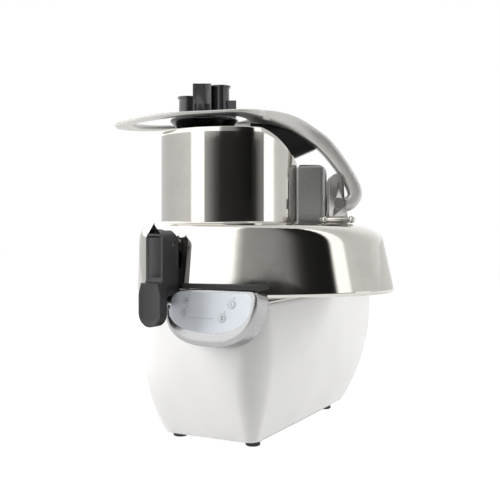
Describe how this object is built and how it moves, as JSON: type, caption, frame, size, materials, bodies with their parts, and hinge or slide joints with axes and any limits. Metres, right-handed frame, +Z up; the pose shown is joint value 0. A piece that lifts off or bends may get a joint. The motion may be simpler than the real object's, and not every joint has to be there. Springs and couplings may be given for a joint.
{
  "type": "commercial vegetable cutter",
  "caption": "Countertop vegetable cutter: white motor base, polished oval lid with a round hopper, arched pressing lever, pusher, latch and slicing discs.",
  "frame": {"origin": "middle of the footprint box, on the surface that the feet stand on", "axes": "+Z up, +X to the right of the control panel, the panel facing -Y"},
  "size_m": [0.3746, 0.5026, 0.4987],
  "materials": {
    "moulded_white": "glossy white moulded housing",
    "polished_steel": "mirror-polished stainless steel",
    "cast_grey": "polished grey casting",
    "dark_steel": "plain machined steel",
    "panel_grey": "satin silver panel surround",
    "face_grey": "pale grey keypad film",
    "black_plastic": "black moulded plastic",
    "rubber_black": "black rubber",
    "disc_white": "white moulded disc",
    "board_green": "circuit board"
  },
  "bodies": {
    "base": {"motor_housing": "moulded_white", "bottom_plate": "dark_steel", "rubber_feet": "rubber_black", "deck_plate": "polished_steel", "deck_screws": "dark_steel", "control_bezel": "panel_grey", "control_face": "face_grey", "control_board": "board_green", "console_seal": "rubber_black", "power_inlet": "black_plastic", "motor_body": "dark_steel", "motor_plate": "cast_grey", "drive_belt": "rubber_black", "bearing_housing": "cast_grey", "upper_bearing": "dark_steel", "lower_bearing": "dark_steel", "shaft_seal": "rubber_black", "chamber_ring": "polished_steel", "latch_catch": "polished_steel", "hinge_brackets": "polished_steel"},
    "rotor": {"motor_shaft": "dark_steel", "motor_pulley": "cast_grey"},
    "spindle": {"drive_pulley": "cast_grey", "drive_shaft": "dark_steel", "ejector_disc": "disc_white", "cutting_disc": "polished_steel", "disc_blades": "polished_steel", "disc_knob": "black_plastic"},
    "stop_button": {"stop_key": "face_grey"},
    "start_button": {"start_key": "face_grey"},
    "speed_one_button": {"speed_one_key": "face_grey"},
    "speed_two_button": {"speed_two_key": "face_grey"},
    "lid": {"lid_shell": "polished_steel", "hopper": "polished_steel", "discharge_guide": "polished_steel", "hinge_lugs": "polished_steel", "hinge_pin": "dark_steel", "tower_housing": "cast_grey", "lever_bracket": "polished_steel", "lever_pin": "dark_steel", "stop_rod": "polished_steel", "latch_bracket": "polished_steel", "latch_pin": "dark_steel"},
    "lever": {"lever_arm": "polished_steel", "feed_tube": "black_plastic", "press_plate": "black_plastic", "press_web": "black_plastic"},
    "plunger": {"pusher": "black_plastic"},
    "latch": {"latch_handle": "black_plastic", "latch_hook": "polished_steel"}
  },
  "joints": [
    {"name": "spindle_spin", "type": "hinge", "parent": "base", "child": "spindle", "pos_m": [-0.03447, -0.08375, 0.2], "axis": [0, 0, 1], "continuous": true},
    {"name": "motor_spin", "type": "hinge", "parent": "base", "child": "rotor", "pos_m": [-0.03447, 0.06625, 0.1], "axis": [0, 0, 1], "continuous": true},
    {"name": "lid_tilt", "type": "hinge", "parent": "base", "child": "lid", "pos_m": [-0.0722, 0.04988, 0.214], "axis": [-0.8878, -0.4602, 0], "range_deg": [0, 70]},
    {"name": "lever_lift", "type": "hinge", "parent": "lid", "child": "lever", "pos_m": [0.10314, -0.01242, 0.33], "axis": [-0.4602, 0.8878, 0], "range_deg": [0, 60]},
    {"name": "pusher_slide", "type": "slide", "parent": "lever", "child": "plunger", "axis": [0, 0, 1], "range_m": [0, 0.12]},
    {"name": "latch_swing", "type": "hinge", "parent": "lid", "child": "latch", "pos_m": [-0.05614, -0.2174, 0.274], "axis": [-0.9934, 0.1149, 0], "range_deg": [0, 40]},
    {"name": "stop_press", "type": "slide", "parent": "base", "child": "stop_button", "axis": [0, 0.9848, -0.1736], "range_m": [0, 0.0006], "stiffness_N_per_m": 400},
    {"name": "start_press", "type": "slide", "parent": "base", "child": "start_button", "axis": [0, 0.9848, -0.1736], "range_m": [0, 0.0006], "stiffness_N_per_m": 400},
    {"name": "speed_one_press", "type": "slide", "parent": "base", "child": "speed_one_button", "axis": [0, 0.9848, -0.1736], "range_m": [0, 0.0006], "stiffness_N_per_m": 400},
    {"name": "speed_two_press", "type": "slide", "parent": "base", "child": "speed_two_button", "axis": [0, 0.9848, -0.1736], "range_m": [0, 0.0006], "stiffness_N_per_m": 400}
  ],
  "couplings": [
    {"joint": "motor_spin", "follows": "spindle_spin", "ratio": 2}
  ]
}
